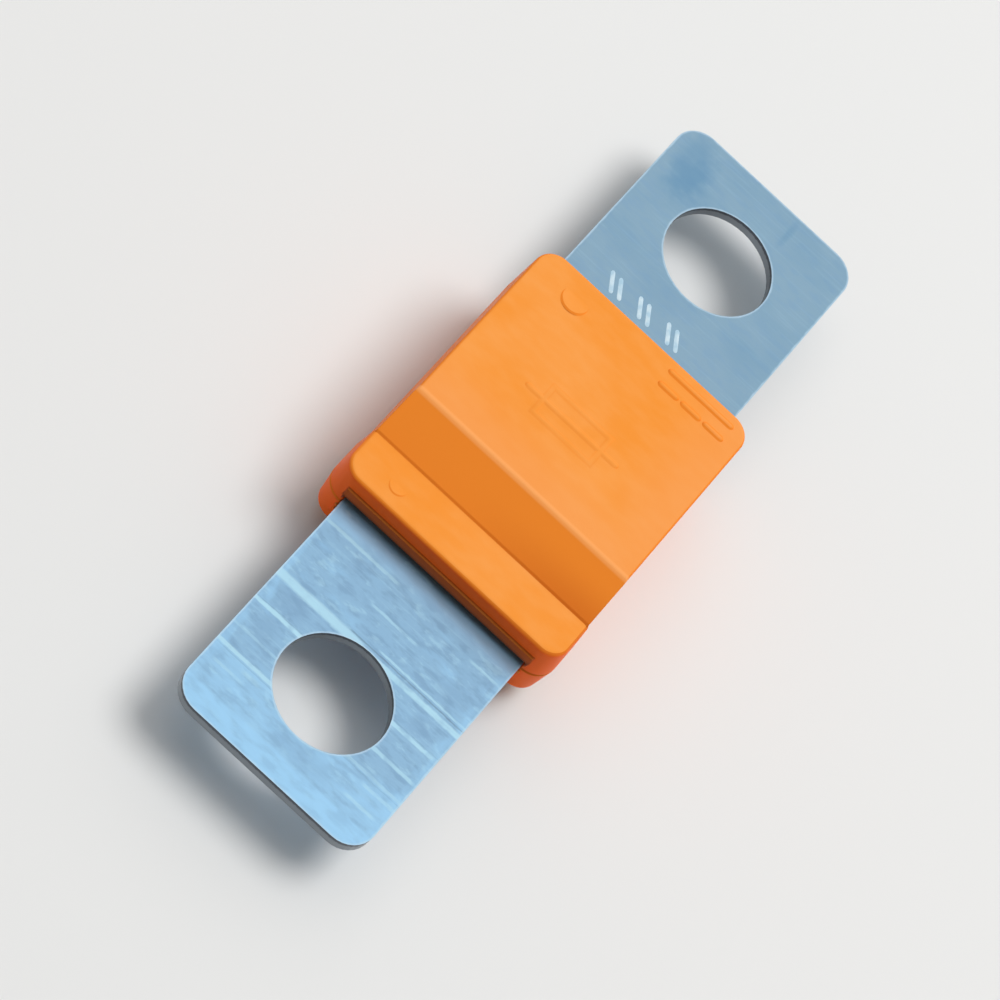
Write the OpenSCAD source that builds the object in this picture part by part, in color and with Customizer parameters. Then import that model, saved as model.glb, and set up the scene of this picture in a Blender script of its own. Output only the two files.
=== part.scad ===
// Bolt-down strip fuse: one stamped zinc strip with a necked link, held between two moulded halves.
// The part rests on its flat underside at z = 0, +X points along the strip to the plain end,
// the stepped end of the body points to -X, and everything is centred on Y = 0.

/* [Strip] */
// overall length of the stamped strip
strip_length = 40; // [36:0.5:44]
// width of the strip
strip_width = 10; // [8:0.5:12]
// thickness of the strip
strip_thickness = 0.55; // [0.5:0.05:1.2]
// distance between the two fixing holes
hole_spacing = 30; // [28:0.5:32]
// diameter of the fixing holes
hole_dia = 5.3; // [5:0.1:6.4]
// corner radius of the tabs
tab_corner = 1.3; // [0.5:0.1:3]

/* [Fuse link] */
// width of the link
link_width = 0.9; // [0.6:0.1:1.4]
// thickness of the link after coining
link_thickness = 0.4; // [0.2:0.1:0.5]
// distance between neighbouring runs of the link
link_pitch = 1.7; // [1.4:0.1:2.2]
// length of the straight part between the half turns
link_straight = 2.4; // [1.6:0.1:2.8]
// where the full width of the strip ends inside the body, from the middle
neck_start = 3.05; // [2.6:0.05:3.2]

/* [Body] */
// distance from the middle to the stepped end, where the halves meet
near_end = 7.7; // [7.2:0.1:8.2]
// distance from the middle to the plain end, at the top
far_end = 7.38; // [7:0.02:8]
// width of the body at its top
body_width = 11.76; // [11.2:0.02:13]
// height of one half above the face of the strip
half_rise = 2.6; // [2.2:0.1:3.2]
// where the top ends and the slope to the step begins, from the middle
crease = 2.79; // [1.5:0.01:3.2]
// draft of the body in degrees
body_draft = 3; // [1:0.5:6]
// plan radius of the body's corners, where the halves meet
body_corner = 1.15; // [0.6:0.05:2]
// radius along the edges of the top
top_radius = 0.15; // [0.05:0.05:0.4]
// radius along the crease between the top and the slope
crease_radius = 0.4; // [0.1:0.1:1.5]
// chamfer along the joint of the halves
joint_chamfer = 0.08; // [0.02:0.02:0.2]

/* [End step] */
// height of the step above the face of the strip
step_rise = 1.5; // [1.2:0.1:1.8]
// length of the flat step, measured at its top
step_length = 2.4; // [1.5:0.1:3]
// how far the step stands out of each side, where the halves meet
step_proud = 0.12; // [0.04:0.02:0.3]
// draft of the step in degrees
step_draft = 5; // [2:0.5:8]
// plan radius of the step's corners over the tab, where the halves meet
step_corner = 1.1; // [0.6:0.05:2]
// plan radius of the step's corners where it ends against the body
step_end_corner = 0.5; // [0.45:0.05:1]
// radius along the edges of the step
step_radius = 0.2; // [0.05:0.05:0.4]
// how far the step runs on into the body, past the foot of the slope
step_root = 0.5; // [0.3:0.05:1]

/* [Ejector pads] */
// how far the low side of the round pads lies under the face
pad_sink = 0.04; // [0.02:0.01:0.06]
// lean of the pads, in degrees, higher on the side of the end step
pad_lean = 4; // [3:0.5:6]
// chamfer around the pads
pad_chamfer = 0.05; // [0.01:0.01:0.1]
// diameter of the pad on the top
top_pad_dia = 1.5; // [1:0.1:2]
// distance of that pad's centre from the plain end of the top
top_pad_end = 1.28; // [1:0.02:3]
// distance of that pad's centre from the side of the top
top_pad_side = 2.4; // [1:0.1:4]
// diameter of the pad on the end step
step_pad_dia = 1.1; // [0.8:0.1:1.6]
// distance of that pad's centre from the side of the step
step_pad_side = 2.2; // [1:0.1:4]

/* [Mouth] */
// height of the collar over the strip at each end
collar_rise = 0.75; // [0.4:0.05:1]
// how far the collar stands out of the end face
collar_proud = 0.11; // [0:0.01:0.3]
// how far the collar runs past its seat at each side
collar_side = 0.1; // [0.05:0.05:0.3]
// open gap over the strip at the mouth
mouth_gap = 0.3; // [0:0.02:0.4]
// depth of that gap into the body
mouth_depth = 0.55; // [0.2:0.05:1]

/* [Inside] */
// half the length of the arc chamber
chamber_half = 3.4; // [2.5:0.1:4]
// width of the arc chamber
chamber_width = 8.8; // [6:0.1:9.4]
// height of the arc chamber in one half
chamber_rise = 1.9; // [1.2:0.1:2.2]
// plan radius of the arc chamber's corners
chamber_corner = 0.5; // [0.2:0.1:1]
// distance of the pegs from the middle, along the strip
peg_x = 5.3; // [4.5:0.1:6]
// distance of the pegs from the middle, across the strip
peg_y = 2.8; // [2:0.1:3.5]
// diameter of the pegs
peg_dia = 1.5; // [1.2:0.1:2]
// length of a peg below the strip
peg_reach = 0.6; // [0.3:0.1:0.8]

/* [Fits] */
// gap between the edge of the strip and its seat
seat_clearance = 0.05; // [0.02:0.01:0.15]
// gap around a peg in the strip
peg_clearance = 0.1; // [0.05:0.01:0.2]
// gap around a peg in its socket
socket_clearance = 0.03; // [0.02:0.01:0.1]
// gap beyond the tip of a peg
tip_clearance = 0.15; // [0.05:0.05:0.3]
// gap between the inner end of the wide strip and its seat
neck_clearance = 0.15; // [0.05:0.05:0.3]

/* [Hidden] */
half_strip = strip_thickness / 2;
mid_z = half_rise + half_strip;
top_z = mid_z;
step_z = step_rise + half_strip;
half_width = body_width / 2;
side_y = half_width + top_z * tan(body_draft);
far_x = far_end + top_z * tan(body_draft);
step_y = side_y + step_proud;
step_near_x = -near_end + step_z * tan(step_draft);
step_far_x = step_near_x + step_length;
seat_half = strip_width / 2 + seat_clearance;
seat_start = neck_start - neck_clearance;
collar_half = seat_half + collar_side;
foot = 0.09;
root = 0.2;
eps = 0.01;

// Unit vector
function unit(v) = v / norm(v);

// Points of an arc that rounds the corner at b between a and c
function corner(a, b, c, r, n) =
    let (
        u = unit(a - b),
        w = unit(c - b),
        half = acos(u * w) / 2,
        centre = b + unit(u + w) * r / sin(half),
        first = b + u * r / tan(half) - centre,
        last = b + w * r / tan(half) - centre,
        start = atan2(first[1], first[0]),
        sweep = (atan2(last[1], last[0]) - start + 540) % 360 - 180
    )
    [for (i = [0 : n]) centre + r * [cos(start + sweep * i / n), sin(start + sweep * i / n)]];

// Outline with the corner of each point rounded by its own radius
function rounded(points, radii, n = 4) =
    let (count = len(points))
    [for (i = [0 : count - 1])
        each radii[i] > 0
            ? corner(points[(i + count - 1) % count], points[i], points[(i + 1) % count], radii[i], n)
            : [points[i]]];

// Plan block with its own radius at each end
module plan_block(x0, x1, half_y, r0, r1, height) {
    linear_extrude(height)
        polygon(rounded([[x0, -half_y], [x1, -half_y], [x1, half_y], [x0, half_y]], [r0, r1, r1, r0], 8));
}

// Section of a moulded wall: outward across, up the wall, with a chamfered foot and a rounded head
function wall_section(reach, height, draft, head_radius) =
    rounded(
        [
            [0, 0],
            [reach - joint_chamfer, 0],
            [reach - joint_chamfer * tan(draft), joint_chamfer],
            [reach - height * tan(draft), height],
            [0, height]
        ],
        [0, 0, 0, head_radius, 0]
    );

// Stretch of moulded wall that faces the direction turn and is centred on the middle of its length
module wall(length, turn, section) {
    rotate([0, 0, turn]) translate([0, length / 2, 0]) rotate([90, 0, 0])
        linear_extrude(length) polygon(section);
}

// Quarter turn of the wall around a corner, from the direction turn
module round_corner(turn, section) {
    rotate([0, 0, turn]) rotate_extrude(angle = 90, $fn = 64) polygon(section);
}

// Block with drafted walls and round corners, sized where the halves meet
module drafted_block(x0, x1, half_y, height, draft, near_radius, far_radius, head_radius) {
    near_section = wall_section(near_radius, height, draft, head_radius);
    far_section = wall_section(far_radius, height, draft, head_radius);
    near_x = x0 + near_radius;
    far_x = x1 - far_radius;
    near_y = half_y - near_radius;
    far_y = half_y - far_radius;
    translate([near_x, -near_y, 0]) cube([far_x - near_x, 2 * near_y, height]);
    translate([near_x, 0, 0]) wall(2 * near_y, 180, near_section);
    translate([far_x, 0, 0]) wall(2 * far_y, 0, far_section);
    for (side = [-1, 1]) {
        translate([(near_x + far_x) / 2, side * near_y, 0]) wall(far_x - near_x, 90 * side, near_section);
        translate([near_x, side * near_y, 0]) round_corner(side > 0 ? 90 : 180, near_section);
        translate([far_x, side * far_y, 0]) round_corner(side > 0 ? 0 : 270, far_section);
    }
}

// Side outline that keeps the slope of one half, with a small foot, X across and Z up
module slope_outline() {
    reach = near_end + far_end;
    polygon(rounded(
        [
            [-reach, -1],
            [reach, -1],
            [reach, top_z],
            [-crease, top_z],
            [step_far_x + foot, step_z + foot],
            [step_far_x, step_z],
            [step_far_x, step_z / 2],
            [-reach, step_z / 2]
        ],
        [0, 0, 0, crease_radius, 0, 0, 0, 0]
    ));
}

// Outer form of one half: the body with its slope, and the slightly wider end step
module half_form() {
    body_start = -near_end + body_corner;
    step_end = step_far_x + step_root;
    intersection() {
        drafted_block(body_start, far_x, side_y, top_z, body_draft, body_corner, body_corner, top_radius);
        translate([0, body_width, 0]) rotate([90, 0, 0]) linear_extrude(2 * body_width) slope_outline();
    }
    drafted_block(-near_end, step_end, step_y, step_z, step_draft, step_corner, step_end_corner, step_radius);
}

// Collar over the strip on the end face at x, which leans back by draft
module collar(side, x, draft) {
    low = x - half_strip * tan(draft) + collar_proud;
    high = low - collar_rise * tan(draft);
    head = half_strip + collar_rise;
    points = [[x - 1, half_strip], [low, half_strip], [high, head], [x - 1, head]];
    translate([0, collar_half, 0]) rotate([90, 0, 0]) linear_extrude(2 * collar_half)
        polygon([for (p = points) [side * p[0], p[1]]]);
}

// Recess for the strip towards the end face at x, with the open gap at the mouth
module strip_seat(side, x) {
    length = x + 1 - seat_start;
    start = side > 0 ? seat_start : -x - 1;
    translate([start, -seat_half, -1]) cube([length, 2 * seat_half, 1 + half_strip]);
    translate([side > 0 ? x - mouth_depth : -x - 1, -seat_half, 0])
        cube([1 + mouth_depth, 2 * seat_half, half_strip + mouth_gap]);
}

// Low round pad left by an ejector pin, leaning, on a face at height z
module ejector_pad(x, y, z, dia) {
    translate([x + dia / 2, y, z - pad_sink]) rotate([0, pad_lean, 0]) translate([-dia / 2, 0, 0]) {
        translate([0, 0, -root]) cylinder(h = root - pad_chamfer, d = dia, $fn = 32);
        translate([0, 0, -pad_chamfer])
            cylinder(h = pad_chamfer, d1 = dia, d2 = dia - 4 * pad_chamfer, $fn = 32);
    }
}

// One moulded half, measured from the joint
module housing_half(pads) {
    socket_depth = half_strip + peg_reach + tip_clearance;
    socket_dia = peg_dia + 2 * socket_clearance;
    chamber_side = chamber_width / 2;
    corner_r = chamber_corner;
    chamber_height = chamber_rise + eps;
    difference() {
        union() {
            half_form();
            collar(-1, near_end, step_draft);
            collar(1, far_x, body_draft);
        }
        strip_seat(-1, near_end);
        strip_seat(1, far_x);
        translate([0, 0, -eps])
            plan_block(-chamber_half, chamber_half, chamber_side, corner_r, corner_r, chamber_height);
        for (side = [-1, 1])
            translate([side * peg_x, -peg_y, 0]) cylinder(h = socket_depth, d = socket_dia, $fn = 24);
    }
    for (side = [-1, 1])
        translate([side * peg_x, peg_y, -half_strip - peg_reach])
            cylinder(h = strip_thickness + peg_reach + root, d = peg_dia, $fn = 24);
    if (pads) {
        ejector_pad(far_end - top_pad_end, half_width - top_pad_side, top_z, top_pad_dia);
        ejector_pad((step_near_x + step_far_x) / 2, half_width - step_pad_side, step_z, step_pad_dia);
    }
}

// Run of the link between two points on one line along X
module link_run(x0, x1, y) {
    translate([x0, y - link_width / 2]) square([x1 - x0, link_width]);
}

// Half turn of the link, side selects the end it bulges to
module link_turn(side) {
    mean = link_pitch / 2;
    reach = link_pitch + link_width;
    translate([side * link_straight / 2, side * mean]) intersection() {
        difference() {
            circle(r = mean + link_width / 2, $fn = 48);
            circle(r = mean - link_width / 2, $fn = 32);
        }
        translate([side > 0 ? 0 : -reach, -reach]) square([reach, 2 * reach]);
    }
}

// Plan of the link: three runs joined by two half turns
module link_plan() {
    bend = link_straight / 2;
    link_run(-neck_start - root, bend, link_pitch);
    link_run(-bend, bend, 0);
    link_run(-bend, neck_start + root, -link_pitch);
    link_turn(1);
    link_turn(-1);
}

// One-piece stamped strip with both tabs and the link
module strip() {
    half_length = strip_length / 2;
    through = strip_thickness + 2;
    color("#a9b6bf") translate([0, 0, mid_z]) {
        translate([0, 0, -half_strip]) difference() {
            plan_block(-half_length, half_length, strip_width / 2, tab_corner, tab_corner, strip_thickness);
            translate([-neck_start, -strip_width, -1]) cube([2 * neck_start, 2 * strip_width, through]);
            for (side = [-1, 1]) {
                translate([side * hole_spacing / 2, 0, -1]) cylinder(h = through, d = hole_dia, $fn = 96);
                for (across = [-1, 1])
                    translate([side * peg_x, across * peg_y, -1])
                        cylinder(h = through, d = peg_dia + 2 * peg_clearance, $fn = 24);
            }
        }
        translate([0, 0, -link_thickness / 2]) linear_extrude(link_thickness) link_plan();
    }
}

// Upper moulding
module upper_housing() {
    color("#f28a1e") translate([0, 0, mid_z]) housing_half(true);
}

// Lower moulding, the same form turned over about the strip
module lower_housing() {
    color("#ee841a") translate([0, 0, mid_z]) rotate([180, 0, 0]) housing_half(false);
}

strip();
upper_housing();
lower_housing();
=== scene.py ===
import math

import bmesh
import bpy
from mathutils import Matrix, Vector


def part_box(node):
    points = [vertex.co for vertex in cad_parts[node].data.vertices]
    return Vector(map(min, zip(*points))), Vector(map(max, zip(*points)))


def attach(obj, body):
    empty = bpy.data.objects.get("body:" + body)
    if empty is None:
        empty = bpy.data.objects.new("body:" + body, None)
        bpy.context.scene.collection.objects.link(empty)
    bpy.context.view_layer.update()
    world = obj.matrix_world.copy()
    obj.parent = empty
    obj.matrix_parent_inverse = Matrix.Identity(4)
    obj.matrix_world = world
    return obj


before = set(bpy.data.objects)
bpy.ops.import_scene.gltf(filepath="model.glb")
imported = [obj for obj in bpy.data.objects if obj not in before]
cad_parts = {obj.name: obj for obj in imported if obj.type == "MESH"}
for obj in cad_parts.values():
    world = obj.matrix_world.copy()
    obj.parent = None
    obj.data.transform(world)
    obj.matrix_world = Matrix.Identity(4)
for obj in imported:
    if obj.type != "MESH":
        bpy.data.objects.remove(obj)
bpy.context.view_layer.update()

MM = 0.001

# Heights taken from the frame: the body stands as far above the middle of the strip as below it
strip_low, strip_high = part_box("strip")
FLOOR_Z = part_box("lower_housing")[0].z
STRIP_MID = (strip_low.z + strip_high.z) / 2
TAB_TOP = strip_high.z
BODY_TOP = 2 * STRIP_MID - FLOOR_Z

# Camera: the point on the tabs' plane that it aims at, how it stands, and its lens
AIM = Vector((-2.35 * MM, 0.18 * MM, TAB_TOP))
CAMERA_DISTANCE = 212.1 * MM
CAMERA_ELEVATION = math.radians(54.17)
CAMERA_AZIMUTH = math.radians(177.54)
CAMERA_ROLL = math.radians(44.78)
LENS_MM = 183.3
SENSOR_MM = 36
CLIP_START = 0.01
CLIP_END = 10

# Lamps, in metres: direction, size, distance, and the share of a full exposure on a level surface
KEY_FROM = Vector((0.3, -0.3, 1))
KEY_SIZE = 0.36
KEY_DISTANCE = 0.6
KEY_SHARE = 0.54
PANEL_FROM = Vector((0.55, 0, 1))
PANEL_SIZE = 0.9
PANEL_DISTANCE = 0.55
PANEL_SHARE = 0.44

# Room: ramps of its brightness along X, in plain light and as gloss shows it
ROOM_LIGHT = (-1, 1, 0.2, 0.4)
ROOM_GLOSS = (-0.8, 0.8, 0.65, 1.02)

# Floor and backdrop
PAPER = (0.8, 0.8, 0.79)
FLOOR_HALF = 2

# Strip, in millimetres, as the surface detail follows its outline
MIDDLE = STRIP_MID / MM
HALF_LENGTH = strip_high.x / MM
HALF_WIDTH = strip_high.y / MM
TAB_CORNER = 1.3
HOLE_PLACE = 15
HOLE_RADIUS = 2.65

# Body, in millimetres: its slope along X, and its collars over the strip
HALF_HEIGHT = BODY_TOP / MM - MIDDLE
CREASE = -2.79
SLOPE_FOOT = -5.2
COLLAR_START = 7.3
COLLAR_HEIGHT = 1.025
MOUTH_HALF_WIDTH = 5.14

# Colours of the surfaces, linear, some of them painted light and shade as noted
ORANGE_DEEP = (0.905, 0.295, 0.034)
ORANGE_PALE = (0.93, 0.35, 0.075)
ORANGE_PEACH = (0.92, 0.345, 0.098)
# Painted shade: the slope gets a darker orange than the top, darkest at its foot
ORANGE_SLOPE_SHADE = (0.93, 0.26, 0.024)
ORANGE_FOOT_SHADE = (0.74, 0.175, 0.015)
# Painted shade: the walls get a darker orange than the top, and the near front a darker, redder one, as
# if lit by red bounce light
ORANGE_WALL_SHADE = (0.9, 0.2, 0.013)
ORANGE_FRONT_SHADE = (1, 0.145, 0.009)
# Painted highlight along the rounded crease
ORANGE_CREASE_HIGHLIGHT = (1, 0.43, 0.14)
# Painted shade in the mouths where the strip enters the body
ORANGE_SHADED = (0.3, 0.075, 0.012)
ORANGE_DEEP_SHADE = (0.04, 0.015, 0.01)
ZINC = (0.275, 0.475, 0.67)
ZINC_FAR = (0.246, 0.395, 0.515)
ZINC_BRIGHT = (0.35, 0.635, 0.89)
# Painted light that lifts the shade on the near tab beside the body
ZINC_PAINTED_LIGHT = (0.4, 0.71, 1)
ZINC_LINE = (0.47, 0.75, 0.89)
ZINC_DULL = (0.21, 0.365, 0.545)
ZINC_SMUDGE = (0.12, 0.28, 0.45)
# Painted highlight along the cut edges
ZINC_EDGE_HIGHLIGHT = (0.55, 0.74, 0.88)
ZINC_SHADE = (0.09, 0.14, 0.2)
# Real sheared and torn zones of the cut walls, their dark and light tones partly painted reflection
ZINC_SHEARED = (0.08, 0.09, 0.11)
ZINC_TORN = (0.24, 0.27, 0.3)
# Painted glints on the punched strokes
PUNCHED_DEEP = (0.45, 0.66, 0.8)
PUNCHED_PALE = (0.7, 0.85, 0.93)

# Noise on the plastic: size of its cells in millimetres along X, Y and Z, and its detail
PLASTIC_CLOUDS = ((3.2, 4.1, 3.2), 3)
PLASTIC_FLOW = ((0.5, 1.4, 0.8), 2)
PLASTIC_SKIN = ((0.09, 0.09, 0.09), 2)

# Added to a plastic's seed, so that its flow and skin differ from its clouds
FLOW_SEED = 9
SKIN_SEED = 5

# Noise on the strip: size of its cells in millimetres along X, Y and Z, its detail and seed
FINE_NOISE = ((0.1, 2.2, 2.2), 2, 3)
BLOTCH_NOISE = ((0.38, 1, 1), 5, 7)
SPECK_NOISE = ((0.14, 0.4, 0.4), 2, 13)
FLECK_NOISE = ((0.3, 0.7, 0.7), 4, 47)
PATCH_NOISE = ((0.7, 1.9, 1.9), 2, 9)
CLOUD_NOISE = ((2.2, 3, 3), 2, 11)
WANDER_NOISE = ((0.8, 1.6, 1.6), 2, 17)
RAGGED_NOISE = ((0.1, 0.3, 0.3), 2, 19)
STREAK_NOISE = ((0.4, 0.7, 0.7), 2, 23)
STAIN_NOISE = ((0.6, 0.8, 0.8), 4, 37)
SIDE_NOISE = ((1.4, 0.5, 0.5), 4, 43)
NICK_NOISE = ((0.4, 0.4, 0.4), 2, 29)
SHEAR_NOISE = ((0.12, 0.12, 1.5), 2, 31)
PUNCH_NOISE = ((0.4, 0.4, 0.4), 2, 41)

# Ramps on the plastic: where each starts and ends, and its results there, or else 0 and 1
CLOUDY = (0.35, 0.7)
FLOWING = (0.3, 0.75, 0, 0.4)
PEACH_BY_CREASE = (CREASE, CREASE + 3.5, 0.6, 0)
PEACH_BY_SIDE = (-5.5, -2, 0.5, 0)
PAST_CREASE = (CREASE - 0.3, CREASE)
DOWN_SLOPE = (SLOPE_FOOT, CREASE - 0.6, 1, 0)
ACROSS_SLOPE = (-5.5, 2, 0.85, 0.05)
LEVEL_OF_SLOPE = (0.91, 0.99, 1, 0)
LEVEL_OF_WALL = (0.3, 0.8, 1, 0)
STEP_FRONT = (-6.9, -4.5, 1, 0)
NEAR_TOP = (HALF_HEIGHT - 0.35, HALF_HEIGHT - 0.2)
BODY_END = (COLLAR_START, COLLAR_START + 0.1)
OVER_STRIP = (HALF_WIDTH - 0.15, HALF_WIDTH, 1, 0)
ABOVE_STRIP = (MIDDLE + 0.3, MIDDLE + 0.55)
IN_MOUTH = (MOUTH_HALF_WIDTH, MOUTH_HALF_WIDTH + 0.1, 1, 0)
COLLAR_SHADE = (COLLAR_HEIGHT + 0.02, COLLAR_HEIGHT + 0.1, 0.7, 0)
COLLAR_DEEP_SHADE = (0.45, 0.8, 0.8, 0)
PLASTIC_ROUGHNESS = (0.3, 0.7, 0.42, 0.5)

# Plastic: strength of its clouds, its painted crease highlight in millimetres, its gloss, skin and edges
CLOUDS_STRENGTH = 0.6
CREASE_HIGHLIGHT_HALF = 0.1
CREASE_HIGHLIGHT_SOFT = 0.12
CREASE_HIGHLIGHT_STRENGTH = 0.55
PLASTIC_SPECULAR = 0.12
PLASTIC_BUMP = (0.006, 0.5)
PLASTIC_EDGE = 0.05

# Ramps on the strip, in the same form
FAR_SIDE = (-2, 2)
DULL_BLOTCHES = (0.47, 0.65, 0, 0.6)
BRIGHT_PATCHES = (0.52, 0.75, 0, 0.45)
FINE_LINES = (0.5, 0.75, 0, 0.16)
DULL_SPECKS = (0.5, 0.72, 0, 0.3)
BRIGHT_FLECKS = (0.3, 0.45, 0.3, 0)
LIGHT_BAND_START = (-9.2, -8.2, 0, 0.7)
LIGHT_BAND_END = (-8.1, -7.8, 1, 0)
BURNISHED = (-18.95, -18.75, 1, 0)
BURNISHED_BLOTCHES = (0.3, 0.7, 0.85, 0.45)
WORN = (-16.9, -16.7, 1, 0)
WORN_BLOTCHES = (0.35, 0.65, 0.6, 0.3)
BRIGHT_SIDES = (0.8, 1.6, 0.5, 0)
STREAKED = (0.25, 0.5, 0.45, 1)
FAR_CLOUDS = (0.42, 0.68, 0, 0.16)
EDGE_HIGHLIGHT = (0.07, 0.16, 0.6, 0)
LEVEL_OF_CUT = (0.3, 0.7, 1, 0)
TORN_PART = (MIDDLE + 0.12, MIDDLE + 0.2, 1, 0)
ZINC_ROUGHNESS = (0.3, 0.7, 0.28, 0.36)
PUNCHED_SHADES = (0.3, 0.7)
PUNCHED_ROUGHNESS = (0.3, 0.7, 0.34, 0.42)

# Strip: how much calmer its far tab is, the slant of its painted light band, and how far noise moves
# edges, in millimetres
FAR_CALM = 0.5
LIGHT_BAND_SLANT = 0.04
WANDER_REACH = 0.07
RAGGED_REACH = 0.08
SIDE_REACH = 2
NICK_REACH = 0.1
SHEAR_REACH = 0.12

# Strip: share of metal, brushed gloss, relief of the fine lines against the blotches, and edges
ZINC_METAL = 0.7
ZINC_BRUSHED = 0.35
FINE_RELIEF = 0.5
ZINC_BUMP = (0.004, 0.35)
ZINC_EDGE = 0.04

# Rolling lines: full and no strength as parts of their width, and how softly they end, in millimetres
LINE_FADE = (0.3, 0.75)
LINE_END_SOFT = 0.4

# Stains: full and no strength as parts of their half size, and how far noise moves their outlines
STAIN_FADE = (0.3, 1.3)
STAIN_REACH = 1

# Paper of the floor
PAPER_ROUGHNESS = 0.95
PAPER_SPECULAR = 0.1

# Rolling lines across the near tab: place along X, width, strength, and the part of Y that they cross
TAB_LINES = (
    (-16.7, 0.18, 0.75, 0.5, 5),
    (-16.72, 0.16, 0.4, -5, 0.5),
    (-15.62, 0.12, 0.35, 2.5, 5),
    (-15.62, 0.18, 0.65, -4.6, -2.7),
    (-14.08, 0.2, 0.85, 2.5, 5),
    (-14.1, 0.18, 0.75, -4.6, -2.5),
    (-12.43, 0.42, 0.75, 0.6, 5),
    (-12.47, 0.26, 0.8, -5, 0.6),
    (-11.98, 0.1, 0.6, -5, -0.5),
    (-17.6, 0.14, 0.35, 3.2, 4.3),
    (-18.1, 0.16, 0.45, -4.3, -3.2),
    (-17.2, 0.16, 0.45, -4.8, -3.5),
    (-17.15, 0.2, 0.35, 2.6, 3.1),
    (-10.55, 0.13, 0.5, -1, 1),
    (-9.3, 0.12, 0.5, -4.7, -3.5),
    (-8.95, 0.16, 0.6, 1.2, 4.8),
)
DARK_LINES = (
    (-12.15, 0.07, 0.4, -5, 1),
    (-16.88, 0.05, 0.15, -5, 5),
    (-13.94, 0.05, 0.15, -5, 5),
)

# Stains on the strip: centre, half its size, strength
DULL_PATCHES = (
    ((-13.3, 3.7), (0.65, 0.9), 0.5),
    ((-13.35, -3.4), (0.6, 0.55), 0.4),
    ((-15.1, 3.8), (1.1, 0.6), 0.35),
    ((-18.2, -0.8), (0.7, 1.6), 0.35),
    ((-11.1, -3.6), (0.8, 0.9), 0.3),
)
SMUDGES = (
    ((17.5, 3.4), (1.7, 1.1), 0.68),
    ((18.6, 3.8), (1.3, 0.8), 0.45),
    ((16.6, 3.9), (1, 0.6), 0.2),
    ((18.9, -1.5), (0.9, 0.2), 0.35),
    ((12.2, -3.4), (0.9, 1.6), 0.15),
)

# Marks, in millimetres: places along X and Y, and the width and height of each one's line
FUSE_BOX_X = (0.25, 1.95)
FUSE_BOX_Y = (-1.5, 1.7)
FUSE_WIRE_Y = (-2.3, 2.5)
FUSE_LINE = (0.44, 0.042)
CURRENT_BAR_X = 6.75
CURRENT_BAR_Y = (-1.6, -4.9)
CURRENT_DASHES_X = 5.9
CURRENT_DASHES_Y = (-1.6, -2.875, -4.15)
CURRENT_DASH_LENGTH = 0.75
CURRENT_LINE = (0.42, 0.075)
STROKES_X = (9.8, 10.6)
STROKES_Y = (2.6, 0.95, -0.7)
STROKE_APART = 0.24
STROKE_SLANT = 0.22
STROKE_LINE = (0.28, 0.025)

# Raised lines: how far they are sunk in, points across them, power of the sine that shapes them across,
# and steps of their rounded ends in degrees
RIDGE_SINK = 0.005
RIDGE_POINTS = 9
RIDGE_POWER = 4
RIDGE_END_STEPS = (89, 65, 45, 22)

# Sockets of a Mix node for colours
MIX_FIRST = 6
MIX_SECOND = 7
MIX_RESULT = 2

# How many rays a Bevel node uses
BEVEL_SAMPLES = 6


def lit(colour):
    """The colour with full alpha, as a socket takes it."""
    return (*colour, 1)


def add_camera():
    data = bpy.data.cameras.new("camera")
    data.lens = LENS_MM
    data.sensor_width = SENSOR_MM
    data.clip_start = CLIP_START
    data.clip_end = CLIP_END
    flat = math.cos(CAMERA_ELEVATION)
    back = Vector((
        flat * math.cos(CAMERA_AZIMUTH),
        flat * math.sin(CAMERA_AZIMUTH),
        math.sin(CAMERA_ELEVATION),
    ))
    look = -back
    level = look.cross(Vector((0, 0, 1))).normalized()
    rise = level.cross(look)
    right = level * math.cos(CAMERA_ROLL) + rise * math.sin(CAMERA_ROLL)
    up = back.cross(right)
    turn = Matrix((right, up, back)).transposed().to_4x4()
    camera = bpy.data.objects.new("camera", data)
    camera.matrix_world = Matrix.Translation(AIM + back * CAMERA_DISTANCE) @ turn
    bpy.context.scene.collection.objects.link(camera)
    bpy.context.scene.camera = camera


def add_area_light(name, shape, size, direction, distance, share):
    """A soft lamp, left out of gloss, that gives a level surface the share of a full exposure."""
    direction = direction.normalized()
    data = bpy.data.lights.new(name, "AREA")
    data.shape = shape
    data.size = size
    data.energy = share * (math.pi * distance) ** 2 / direction.z
    light = bpy.data.objects.new(name, data)
    light.location = direction * distance
    light.rotation_euler = direction.to_track_quat("Z", "Y").to_euler()
    light.visible_glossy = False
    bpy.context.scene.collection.objects.link(light)


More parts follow.
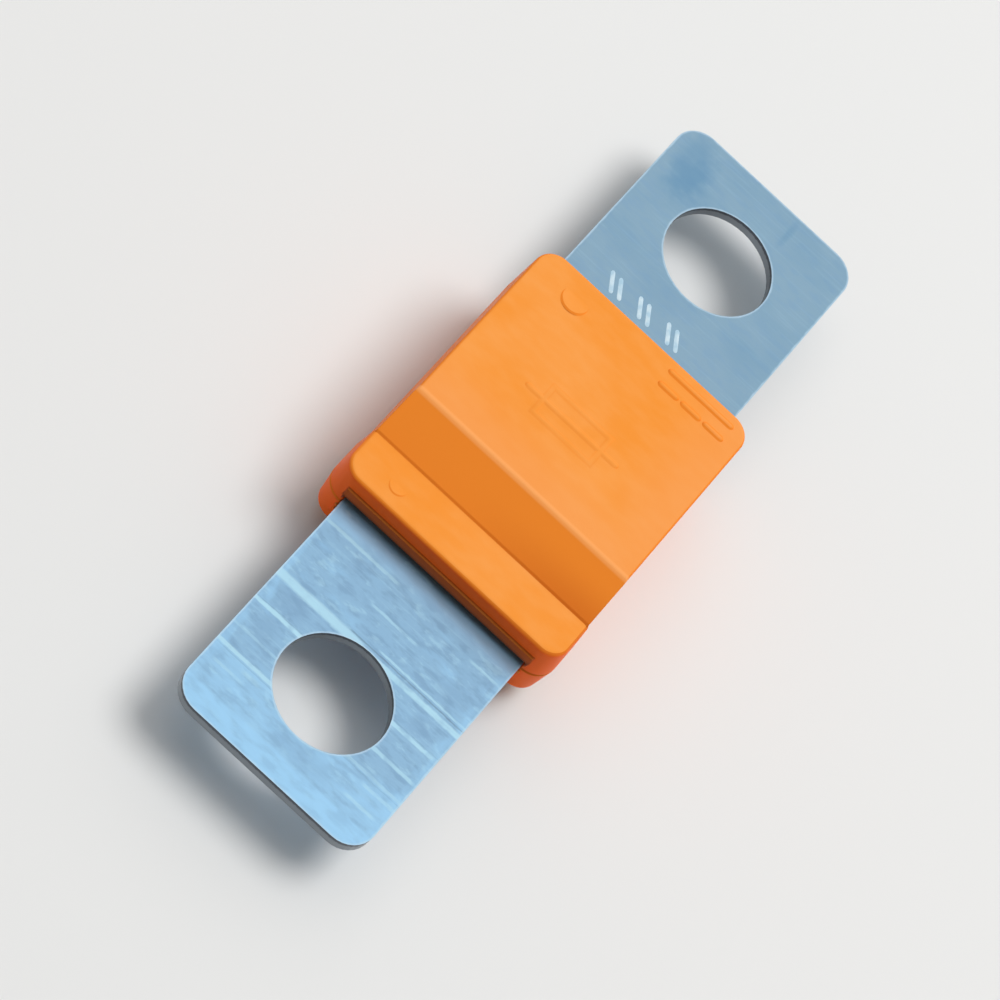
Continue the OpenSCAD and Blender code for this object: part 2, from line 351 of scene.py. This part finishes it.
class Tree:
    """Short ways to add nodes to a material or world."""

    def __init__(self, tree):
        self.nodes = tree.nodes
        self.links = tree.links

    def add(self, kind, **settings):
        node = self.nodes.new("ShaderNode" + kind)
        for name, value in settings.items():
            setattr(node, name, value)
        return node

    def put(self, node, name, value):
        """Sets an input, or links it when the value is a socket."""
        if isinstance(value, bpy.types.NodeSocket):
            self.links.new(value, node.inputs[name])
        else:
            node.inputs[name].default_value = value

    def math(self, operation, *values):
        node = self.add("Math", operation=operation)
        for index, value in enumerate(values):
            self.put(node, index, value)
        return node.outputs[0]

    def ramp(self, value, low, high, out_low=0.0, out_high=1.0):
        """Smooth step of value, from out_low at low to out_high at high."""
        node = self.add("MapRange", interpolation_type="SMOOTHSTEP")
        for name, item in (
            ("Value", value),
            ("From Min", low),
            ("From Max", high),
            ("To Min", out_low),
            ("To Max", out_high),
        ):
            self.put(node, name, item)
        return node.outputs["Result"]

    def within(self, value, low, high, soft):
        """1 between low and high, fading to 0 over soft outside them."""
        start = self.ramp(value, low - soft, low)
        end = self.ramp(value, high, high + soft, 1, 0)
        return self.math("MULTIPLY", start, end)

    def length(self, first, second):
        """Length of a flat vector with these two parts."""
        squares = self.math("MULTIPLY_ADD", first, first, self.math("MULTIPLY", second, second))
        return self.math("SQRT", squares)

    def shifted(self, value, noise, reach):
        """The value moved by the noise, by up to half the reach either way."""
        return self.math("MULTIPLY_ADD", self.math("SUBTRACT", noise, 0.5), reach, value)

    def mix(self, factor, first, second):
        node = self.add("Mix", data_type="RGBA")
        self.put(node, "Factor", factor)
        for index, colour in ((MIX_FIRST, first), (MIX_SECOND, second)):
            self.put(node, index, colour if isinstance(colour, bpy.types.NodeSocket) else lit(colour))
        return node.outputs[MIX_RESULT]

    def cover(self, colour, coat, mask, *others):
        """The colour with a coat over it, as strong as the product of the masks."""
        for other in others:
            mask = self.math("MULTIPLY", mask, other)
        return self.mix(mask, colour, coat)

    def place_mm(self):
        """Place on the object in millimetres, and its three parts."""
        scale = self.add("VectorMath", operation="SCALE")
        self.links.new(self.add("TexCoord").outputs["Object"], scale.inputs[0])
        scale.inputs["Scale"].default_value = 1 / MM
        split = self.add("SeparateXYZ")
        self.links.new(scale.outputs[0], split.inputs[0])
        return scale.outputs[0], *split.outputs

    def noise(self, place, grain, detail, seed):
        """Noise from 0 to 1 whose cells are grain millimetres along X, Y and Z."""
        mapping = self.add("Mapping")
        self.links.new(place, mapping.inputs["Vector"])
        mapping.inputs["Scale"].default_value = [1 / size for size in grain]
        mapping.inputs["Location"].default_value = (seed, 2 * seed, 3 * seed)
        node = self.add("TexNoise")
        self.links.new(mapping.outputs[0], node.inputs["Vector"])
        node.inputs["Scale"].default_value = 1
        node.inputs["Detail"].default_value = detail
        return node.outputs[0]

    def bump(self, height, distance_mm, strength, normal=None):
        node = self.add("Bump")
        self.links.new(height, node.inputs["Height"])
        node.inputs["Distance"].default_value = distance_mm * MM
        node.inputs["Strength"].default_value = strength
        if normal is not None:
            self.links.new(normal, node.inputs["Normal"])
        return node.outputs[0]

    def soft_edges(self, radius_mm):
        node = self.add("Bevel", samples=BEVEL_SAMPLES)
        node.inputs["Radius"].default_value = radius_mm * MM
        return node.outputs[0]

    def facing_up(self):
        """How level the face is: 1 on a top, 0 on a wall."""
        split = self.add("SeparateXYZ")
        self.links.new(self.add("NewGeometry").outputs["True Normal"], split.inputs[0])
        return self.math("ABSOLUTE", split.outputs[2])


def new_material(name):
    material = bpy.data.materials.new(name)
    material.use_nodes = True
    return material, Tree(material.node_tree), material.node_tree.nodes["Principled BSDF"]


def top_colour(tree, clouds, flow, x, y):
    """Orange of the level faces, cloudy, and peach past the crease and along the -Y side."""
    flowing = tree.ramp(flow, *FLOWING)
    cloudy = tree.math("MULTIPLY_ADD", tree.ramp(clouds, *CLOUDY), CLOUDS_STRENGTH, flowing)
    colour = tree.mix(cloudy, ORANGE_DEEP, ORANGE_PALE)
    peach = tree.math("MAXIMUM", tree.ramp(x, *PEACH_BY_CREASE), tree.ramp(y, *PEACH_BY_SIDE))
    return tree.cover(colour, ORANGE_PEACH, peach, tree.ramp(x, *PAST_CREASE))


def slope_shade_colour(tree, x, y):
    """Painted shade on the slope: darker orange than the top, and darker still towards its foot and
    towards -Y.
    """
    darker = tree.math("MULTIPLY", tree.ramp(x, *DOWN_SLOPE), tree.ramp(y, *ACROSS_SLOPE))
    return tree.mix(darker, ORANGE_SLOPE_SHADE, ORANGE_FOOT_SHADE)


def collar_shade_mask(tree, x, y, z):
    """Mask of the painted shade in the mouths: 1 on the ends of the body, over and under the strip and,
    above it, a little beside it.
    """
    sideways = tree.math("ABSOLUTE", y)
    at_end = tree.ramp(tree.math("ABSOLUTE", x), *BODY_END)
    at_strip = tree.ramp(sideways, *OVER_STRIP)
    beside_strip = tree.math("MULTIPLY", tree.ramp(sideways, *IN_MOUTH), tree.ramp(z, *ABOVE_STRIP))
    return tree.math("MULTIPLY", at_end, tree.math("MAXIMUM", at_strip, beside_strip))


def plastic(name, seed, edged=True):
    """Orange satin plastic with a fine skin, a painted crease highlight, painted shade on slope, walls
    and mouths and, if edged, soft edges.
    """
    material, tree, shader = new_material(name)
    place, x, y, z = tree.place_mm()
    clouds = tree.noise(place, *PLASTIC_CLOUDS, seed)
    flow = tree.noise(place, *PLASTIC_FLOW, seed + FLOW_SEED)
    skin = tree.noise(place, *PLASTIC_SKIN, seed + SKIN_SEED)
    level = tree.facing_up()
    outside = tree.math("ABSOLUTE", tree.math("SUBTRACT", z, MIDDLE))

    colour = top_colour(tree, clouds, flow, x, y)
    # Painted shade on the slope, where it tilts away from the light
    colour = tree.mix(tree.ramp(level, *LEVEL_OF_SLOPE), colour, slope_shade_colour(tree, x, y))
    # Painted shade on the walls, darkest and reddest on the near front
    wall_colour = tree.mix(tree.ramp(x, *STEP_FRONT), ORANGE_WALL_SHADE, ORANGE_FRONT_SHADE)
    colour = tree.mix(tree.ramp(level, *LEVEL_OF_WALL), colour, wall_colour)

    # Painted highlight along the crease, near the outer face of each housing
    crease = tree.within(x, CREASE - CREASE_HIGHLIGHT_HALF, CREASE + CREASE_HIGHLIGHT_HALF, CREASE_HIGHLIGHT_SOFT)
    colour = tree.cover(colour, ORANGE_CREASE_HIGHLIGHT, crease, tree.ramp(outside, *NEAR_TOP), CREASE_HIGHLIGHT_STRENGTH)

    # Painted shade in the mouths, deepest next to the strip
    at_collar = collar_shade_mask(tree, x, y, z)
    colour = tree.cover(colour, ORANGE_SHADED, at_collar, tree.ramp(outside, *COLLAR_SHADE))
    colour = tree.cover(colour, ORANGE_DEEP_SHADE, at_collar, tree.ramp(outside, *COLLAR_DEEP_SHADE))

    tree.put(shader, "Base Color", colour)
    tree.put(shader, "Roughness", tree.ramp(clouds, *PLASTIC_ROUGHNESS))
    tree.put(shader, "Specular IOR Level", PLASTIC_SPECULAR)
    normal = tree.soft_edges(PLASTIC_EDGE) if edged else None
    tree.put(shader, "Normal", tree.bump(skin, *PLASTIC_BUMP, normal))
    return material


def tab_edge(tree, x, y):
    """Distance in millimetres from the nearest cut edge of a tab, its hole included."""
    along = tree.math("ABSOLUTE", x)
    sideways = tree.math("ABSOLUTE", y)
    out_x = tree.math("MAXIMUM", tree.math("SUBTRACT", along, HALF_LENGTH - TAB_CORNER), 0)
    out_y = tree.math("MAXIMUM", tree.math("SUBTRACT", sideways, HALF_WIDTH - TAB_CORNER), 0)
    outline = tree.math("SUBTRACT", TAB_CORNER, tree.length(out_x, out_y))
    from_hole = tree.length(tree.math("SUBTRACT", along, HOLE_PLACE), y)
    hole = tree.math("SUBTRACT", from_hole, HOLE_RADIUS)
    return tree.math("MINIMUM", tree.math("ABSOLUTE", outline), tree.math("ABSOLUTE", hole))


def lines_mask(tree, x, y, lines, streaks):
    """Full strength where a line lies, broken up along its length by the streaks."""
    total = 0
    full, none = LINE_FADE
    for at, width, strength, low, high in lines:
        away = tree.math("ABSOLUTE", tree.math("SUBTRACT", x, at))
        line = tree.ramp(away, width * full, width * none, strength, 0)
        if high - low < 2 * HALF_WIDTH:
            line = tree.math("MULTIPLY", line, tree.within(y, low, high, LINE_END_SOFT))
        total = tree.math("MAXIMUM", total, line)
    return tree.math("MULTIPLY", total, streaks)


def stains_mask(tree, place, x, y, spots):
    """Soft oval stains, their outlines broken by noise."""
    ragged = tree.noise(place, *STAIN_NOISE)
    total = 0
    for centre, half, strength in spots:
        u = tree.math("DIVIDE", tree.math("SUBTRACT", x, centre[0]), half[0])
        v = tree.math("DIVIDE", tree.math("SUBTRACT", y, centre[1]), half[1])
        away = tree.shifted(tree.length(u, v), ragged, STAIN_REACH)
        total = tree.math("MAXIMUM", total, tree.ramp(away, *STAIN_FADE, strength, 0))
    return total


def mottled(tree, place, fine, blotches, near, far):
    """Colour of the rolled face: blotches, patches, fine lines, specks and flecks."""
    calm = tree.math("MULTIPLY_ADD", far, -FAR_CALM, 1)
    patches = tree.noise(place, *PATCH_NOISE)
    specks = tree.noise(place, *SPECK_NOISE)
    flecks = tree.noise(place, *FLECK_NOISE)
    colour = tree.mix(far, ZINC, ZINC_FAR)
    colour = tree.cover(colour, ZINC_DULL, tree.ramp(blotches, *DULL_BLOTCHES), calm)
    colour = tree.cover(colour, ZINC_BRIGHT, tree.ramp(patches, *BRIGHT_PATCHES), near)
    colour = tree.cover(colour, ZINC_LINE, tree.ramp(fine, *FINE_LINES), calm)
    colour = tree.cover(colour, ZINC_DULL, tree.ramp(specks, *DULL_SPECKS), calm)
    return tree.cover(colour, ZINC_LINE, tree.ramp(flecks, *BRIGHT_FLECKS), near)


def near_tab_wear(tree, colour, place, x, y, blotches, near):
    """The colour with painted light beside the body, worn end, dull patches, bright sides and lines."""
    # Painted light on the near tab beside the body, where the body shades it
    slanted = tree.math("MULTIPLY_ADD", y, LIGHT_BAND_SLANT, x)
    light_band_start = tree.ramp(slanted, *LIGHT_BAND_START)
    colour = tree.cover(colour, ZINC_PAINTED_LIGHT, light_band_start, tree.ramp(slanted, *LIGHT_BAND_END))

    across = tree.shifted(x, tree.noise(place, *WANDER_NOISE), WANDER_REACH)
    across = tree.shifted(across, tree.noise(place, *RAGGED_NOISE), RAGGED_REACH)
    burnished = tree.ramp(across, *BURNISHED)
    colour = tree.cover(colour, ZINC_BRIGHT, burnished, tree.ramp(blotches, *BURNISHED_BLOTCHES))
    worn = tree.ramp(across, *WORN)
    colour = tree.cover(colour, ZINC_BRIGHT, worn, tree.ramp(blotches, *WORN_BLOTCHES))
    colour = tree.mix(stains_mask(tree, place, x, y, DULL_PATCHES), colour, ZINC_DULL)

    inwards = tree.math("SUBTRACT", HALF_WIDTH, tree.math("ABSOLUTE", y))
    inwards = tree.math("MULTIPLY_ADD", tree.noise(place, *SIDE_NOISE), SIDE_REACH, inwards)
    colour = tree.cover(colour, ZINC_BRIGHT, tree.ramp(inwards, *BRIGHT_SIDES), near)

    streaks = tree.ramp(tree.noise(place, *STREAK_NOISE), *STREAKED)
    colour = tree.mix(lines_mask(tree, across, y, TAB_LINES, streaks), colour, ZINC_LINE)
    return tree.mix(lines_mask(tree, across, y, DARK_LINES, streaks), colour, ZINC_SHADE)


def far_tab_stains(tree, colour, place, x, y, far):
    """The colour with soft clouds and a stain on the far tab."""
    clouds = tree.ramp(tree.noise(place, *CLOUD_NOISE), *FAR_CLOUDS)
    colour = tree.cover(colour, ZINC_SMUDGE, clouds, far)
    return tree.mix(stains_mask(tree, place, x, y, SMUDGES), colour, ZINC_SMUDGE)


def cut_edges(tree, colour, place, x, y, z):
    """The colour with a painted highlight beside each cut, and walls sheared above and torn below, their
    tones partly painted reflection.
    """
    nicks = tree.noise(place, *NICK_NOISE)
    nicked = tree.math("MULTIPLY_ADD", nicks, NICK_REACH, tab_edge(tree, x, y))
    # Painted highlight beside each cut edge
    colour = tree.mix(tree.ramp(nicked, *EDGE_HIGHLIGHT), colour, ZINC_EDGE_HIGHLIGHT)
    # Sheared and torn zones are real; the dark upper and lighter lower bands are partly painted
    # reflection
    height = tree.math("MULTIPLY_ADD", tree.noise(place, *SHEAR_NOISE), SHEAR_REACH, z)
    wall_colour = tree.mix(tree.ramp(height, *TORN_PART), ZINC_SHEARED, ZINC_TORN)
    return tree.mix(tree.ramp(tree.facing_up(), *LEVEL_OF_CUT), colour, wall_colour)


def zinc(name):
    """Rolled zinc: mottled, worn and lined on the near tab, calmer on the far one, with cut edges."""
    material, tree, shader = new_material(name)
    place, x, y, z = tree.place_mm()
    fine = tree.noise(place, *FINE_NOISE)
    blotches = tree.noise(place, *BLOTCH_NOISE)
    far = tree.ramp(x, *FAR_SIDE)
    near = tree.math("SUBTRACT", 1, far)

    colour = mottled(tree, place, fine, blotches, near, far)
    colour = near_tab_wear(tree, colour, place, x, y, blotches, near)
    colour = far_tab_stains(tree, colour, place, x, y, far)
    colour = cut_edges(tree, colour, place, x, y, z)

    tree.put(shader, "Base Color", colour)
    tree.put(shader, "Metallic", ZINC_METAL)
    tree.put(shader, "Roughness", tree.ramp(blotches, *ZINC_ROUGHNESS))
    tree.put(shader, "Anisotropic", ZINC_BRUSHED)
    along = tree.add("CombineXYZ")
    along.inputs["X"].default_value = 1
    tree.put(shader, "Tangent", along.outputs[0])
    relief = tree.math("MULTIPLY_ADD", fine, FINE_RELIEF, blotches)
    tree.put(shader, "Normal", tree.bump(relief, *ZINC_BUMP, tree.soft_edges(ZINC_EDGE)))
    return material


def punched_zinc(name):
    """Punched zinc, painted brighter than the face around it as glints."""
    material, tree, shader = new_material(name)
    place = tree.place_mm()[0]
    grain = tree.noise(place, *PUNCH_NOISE)
    colour = tree.mix(tree.ramp(grain, *PUNCHED_SHADES), PUNCHED_DEEP, PUNCHED_PALE)
    tree.put(shader, "Base Color", colour)
    tree.put(shader, "Metallic", 1)
    tree.put(shader, "Roughness", tree.ramp(grain, *PUNCHED_ROUGHNESS))
    return material


def paper():
    material, tree, shader = new_material("paper")
    tree.put(shader, "Base Color", lit(PAPER))
    tree.put(shader, "Roughness", PAPER_ROUGHNESS)
    tree.put(shader, "Specular IOR Level", PAPER_SPECULAR)
    return material


def add_floor():
    mesh = bpy.data.meshes.new("floor")
    corners = [
        (-FLOOR_HALF, -FLOOR_HALF, FLOOR_Z),
        (FLOOR_HALF, -FLOOR_HALF, FLOOR_Z),
        (FLOOR_HALF, FLOOR_HALF, FLOOR_Z),
        (-FLOOR_HALF, FLOOR_HALF, FLOOR_Z),
    ]
    mesh.from_pydata(corners, [], [(0, 1, 2, 3)])
    mesh.materials.append(paper())
    floor = bpy.data.objects.new("floor", mesh)
    bpy.context.scene.collection.objects.link(floor)


def add_world():
    """A pale room that is brighter behind the far tab than in front of the near one."""
    world = bpy.data.worlds.new("room")
    bpy.context.scene.world = world
    world.use_nodes = True
    tree = Tree(world.node_tree)
    split = tree.add("SeparateXYZ")
    tree.links.new(tree.add("TexCoord").outputs["Generated"], split.inputs[0])
    light_path = tree.add("LightPath")
    behind = split.outputs[0]
    plain = tree.ramp(behind, *ROOM_LIGHT)
    gloss = tree.ramp(behind, *ROOM_GLOSS)
    added = tree.math("SUBTRACT", gloss, plain)
    level = tree.math("MULTIPLY_ADD", light_path.outputs["Is Glossy Ray"], added, plain)
    colour = tree.add("CombineColor")
    for index in range(3):
        tree.links.new(level, colour.inputs[index])
    seen = tree.mix(light_path.outputs["Is Camera Ray"], colour.outputs[0], PAPER)
    tree.links.new(seen, world.node_tree.nodes["Background"].inputs["Color"])


def dress(node, material):
    """Gives a CAD node its material."""
    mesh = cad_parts[node].data
    mesh.materials.clear()
    mesh.materials.append(material)


def ridge_rows(path, width, closed):
    """Place, sideways direction and scale of each cross-section along a path."""
    points = [Vector(point) for point in path]
    count = len(points)
    rows = []
    for index, point in enumerate(points):
        before = None
        after = None
        if closed or index:
            before = (point - points[index - 1]).normalized()
        if closed or index < count - 1:
            after = (points[(index + 1) % count] - point).normalized()
        first = before or after
        second = after or before
        middle = (first + second).normalized()
        side = Vector((-middle.y, middle.x)) / middle.dot(first)
        rows.append((point, side, 1))
    if closed:
        return rows
    caps = []
    for angle in RIDGE_END_STEPS:
        turn = math.radians(angle)
        caps.append((width / 2 * math.sin(turn), math.cos(turn)))
    first = (points[1] - points[0]).normalized()
    last = (points[-1] - points[-2]).normalized()
    first_side = Vector((-first.y, first.x))
    last_side = Vector((-last.y, last.x))
    start = [(points[0] - first * shift, first_side, scale) for shift, scale in caps]
    end = [(points[-1] + last * shift, last_side, scale) for shift, scale in reversed(caps)]
    return start + rows + end


def ridge(name, paths, width, height, base, node, material):
    """A soft raised line along flat paths in millimetres, sunk a little into its base."""
    mesh = bmesh.new()
    for path, closed in paths:
        rings = []
        for point, side, scale in ridge_rows(path, width, closed):
            ring = []
            for step in range(RIDGE_POINTS):
                turn = math.pi * step / (RIDGE_POINTS - 1)
                place = point + side * (width / 2 * math.cos(turn) * scale)
                rise = height * math.sin(turn) ** RIDGE_POWER * scale - RIDGE_SINK
                ring.append(mesh.verts.new((place.x * MM, place.y * MM, base + rise * MM)))
            rings.append(ring)
        spans = len(rings) if closed else len(rings) - 1
        for index in range(spans):
            ring = rings[index]
            following = rings[(index + 1) % len(rings)]
            for step in range(RIDGE_POINTS):
                after = (step + 1) % RIDGE_POINTS
                mesh.faces.new((ring[step], ring[after], following[after], following[step]))
        if not closed:
            mesh.faces.new(rings[0])
            mesh.faces.new(list(reversed(rings[-1])))
    bmesh.ops.recalc_face_normals(mesh, faces=mesh.faces)
    data = bpy.data.meshes.new(name)
    mesh.to_mesh(data)
    mesh.free()
    data.shade_smooth()
    data.materials.append(material)
    piece = bpy.data.objects.new(name, data)
    bpy.context.scene.collection.objects.link(piece)
    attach(piece, "root")


def add_marks():
    """Plain signs where the real part is marked: fuse, direct current, and punched strokes."""
    orange = plastic("orange_marks", 1, edged=False)
    (left, right), (low, high) = FUSE_BOX_X, FUSE_BOX_Y
    box = [(left, low), (right, low), (right, high), (left, high)]
    centre = (left + right) / 2
    wire = [(centre, y) for y in FUSE_WIRE_Y]
    ridge("fuse_sign", [(box, True), (wire, False)], *FUSE_LINE, BODY_TOP, "upper_housing", orange)

    bar = [(CURRENT_BAR_X, y) for y in CURRENT_BAR_Y]
    current = [(bar, False)]
    for y in CURRENT_DASHES_Y:
        dash = [(CURRENT_DASHES_X, y), (CURRENT_DASHES_X, y - CURRENT_DASH_LENGTH)]
        current.append((dash, False))
    ridge("current_sign", current, *CURRENT_LINE, BODY_TOP, "upper_housing", orange)

    punched = punched_zinc("punched_zinc")
    for index, y in enumerate(STROKES_Y):
        strokes = []
        for apart in (-STROKE_APART, STROKE_APART):
            start = (STROKES_X[0], y + apart - STROKE_SLANT)
            end = (STROKES_X[1], y + apart + STROKE_SLANT)
            strokes.append(([start, end], False))
        ridge(f"tab_stroke_{index + 1}", strokes, *STROKE_LINE, TAB_TOP, "strip", punched)


add_camera()
add_floor()
add_area_light("key", "DISK", KEY_SIZE, KEY_FROM, KEY_DISTANCE, KEY_SHARE)
add_area_light("panel", "SQUARE", PANEL_SIZE, PANEL_FROM, PANEL_DISTANCE, PANEL_SHARE)
add_world()

dress("strip", zinc("rolled_zinc"))
dress("upper_housing", plastic("orange_upper", 1))
dress("lower_housing", plastic("orange_lower", 4))
add_marks()

bpy.context.scene.view_settings.view_transform = "Standard"
